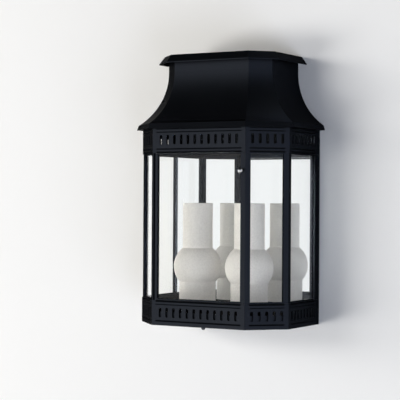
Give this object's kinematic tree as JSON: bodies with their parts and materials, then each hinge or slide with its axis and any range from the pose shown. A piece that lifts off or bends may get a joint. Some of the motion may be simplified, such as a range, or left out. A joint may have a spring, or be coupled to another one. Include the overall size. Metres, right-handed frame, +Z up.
{
  "type": "outdoor wall light",
  "caption": "Half-octagonal black wall lantern with pierced galleries, glazed hinged door, concave capped roof, mirror back and frosted glass chimneys over lamps.",
  "frame": {"origin": "centre of the wall screw pattern, on the wall face of the back plate", "axes": "+Z up, +Y into the wall, the door faces -Y, +X to the right seen from the front"},
  "size_m": [0.3422, 0.2017, 0.5229],
  "materials": {
    "black_paint": "satin black powder coat on cast and sheet aluminium",
    "mirror": "polished sheet",
    "clear_glass": "clear flat glass",
    "frosted_glass": "sand-blasted white glass",
    "bulb_glass": "white bulb",
    "polished_steel": "polished stainless steel",
    "steel": "stainless steel",
    "aluminium_sheet": "plain sheet",
    "ceramic": "white glazed lamp socket",
    "terminal_plastic": "moulded terminal block",
    "magnet": "ferrite magnet in a black holder",
    "rubber": "black rubber"
  },
  "bodies": {
    "lantern": {"back_plate": "black_paint", "base_cap_nuts": "steel", "base_panel_front": "black_paint", "base_panel_left_corner": "black_paint", "base_panel_left_side": "black_paint", "base_panel_right_corner": "black_paint", "base_panel_right_side": "black_paint", "base_plate": "black_paint", "bulb_left": "bulb_glass", "bulb_right": "bulb_glass", "cable_grommet": "rubber", "chimney_holder_left": "aluminium_sheet", "chimney_holder_right": "aluminium_sheet", "chimney_left": "frosted_glass", "chimney_right": "frosted_glass", "frieze_panel_front": "black_paint", "frieze_panel_left_corner": "black_paint", "frieze_panel_left_side": "black_paint", "frieze_panel_right_corner": "black_paint", "frieze_panel_right_side": "black_paint", "front_post_left": "black_paint", "front_post_right": "black_paint", "glass_left_corner": "clear_glass", "glass_left_side": "clear_glass", "glass_right_corner": "clear_glass", "glass_right_side": "clear_glass", "head_front": "black_paint", "head_left_corner": "black_paint", "head_left_side": "black_paint", "head_right_corner": "black_paint", "head_right_side": "black_paint", "lamp_tray": "black_paint", "lampholder_left": "ceramic", "lampholder_right": "ceramic", "magnet_catch": "magnet", "mirror_panel": "mirror", "mirror_screws": "steel", "mirror_spacers": "aluminium_sheet", "rear_post_left": "black_paint", "rear_post_right": "black_paint", "roof_cap": "black_paint", "roof_shell": "black_paint", "side_post_left": "black_paint", "side_post_right": "black_paint", "sill_front": "black_paint", "sill_left_corner": "black_paint", "sill_left_side": "black_paint", "sill_right_corner": "black_paint", "sill_right_side": "black_paint", "terminal_block": "terminal_plastic"},
    "door": {"door_frame": "black_paint", "door_glass": "clear_glass", "glazing_beads": "black_paint", "hinge_pins": "steel", "door_knob": "polished_steel", "strike_plate": "steel"}
  },
  "joints": [
    {"name": "door_hinge", "type": "hinge", "parent": "lantern", "child": "door", "pos_m": [-0.09338, -0.1861, 0], "axis": [0, 0, -1], "range_deg": [0, 110]}
  ]
}
